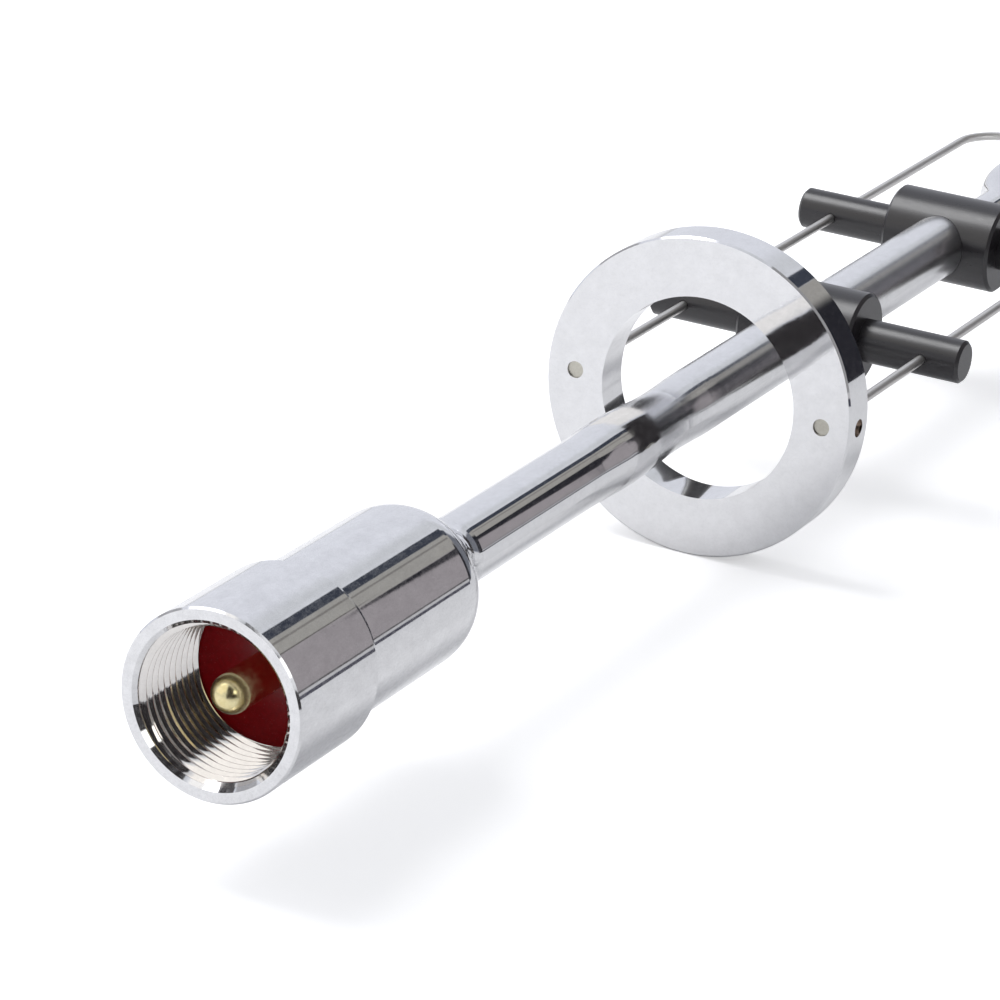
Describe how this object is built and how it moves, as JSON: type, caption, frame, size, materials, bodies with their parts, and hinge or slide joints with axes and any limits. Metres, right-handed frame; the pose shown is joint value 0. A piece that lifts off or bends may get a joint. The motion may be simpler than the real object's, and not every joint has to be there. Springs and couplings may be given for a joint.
{
  "type": "dual-band mobile antenna",
  "caption": "Whip antenna with a threaded coaxial connector foot, a tuning ring on side wires held by cross-bar spacers, and a plain whip.",
  "frame": {"origin": "centre of the connector's mouth, in the plane of its rim", "axes": "+Z along the mast towards the whip's tip, X along the spacers' arms through both side wires, -Y the side that the whip's grub screws face"},
  "size_m": [0.0388, 0.0366, 0.5305],
  "materials": {
    "chrome": "bright chrome plate",
    "brass": "turned and polished",
    "red_disc": "satin moulded plastic",
    "black_plastic": "satin turned plastic",
    "white_plastic": "plain",
    "wire_steel": "drawn, dull",
    "whip_steel": "drawn, polished",
    "copper": "enamelled copper",
    "screw_brass": "dark brass",
    "ferrule_metal": "tinned brass, dull",
    "screw_steel": "black oxide",
    "black_rubber": "satin"
  },
  "bodies": {
    "root": {"connector_shell": "chrome", "centre_pin": "brass", "pin_insulator": "red_disc", "coil_former": "white_plastic", "matching_coil": "copper", "feed_rod": "brass", "feed_insulation": "white_plastic", "lower_mast": "chrome", "tuning_ring": "chrome", "wire_ferrules": "ferrule_metal", "ring_set_screws": "screw_brass", "left_wire": "wire_steel", "right_wire": "wire_steel", "lower_spacer": "black_plastic", "upper_spacer": "black_plastic", "upper_sleeve": "chrome", "insulating_collar": "black_plastic", "whip_socket": "chrome", "whip_set_screws": "screw_steel", "whip": "whip_steel", "whip_cap": "black_rubber"}
  },
  "joints": []
}
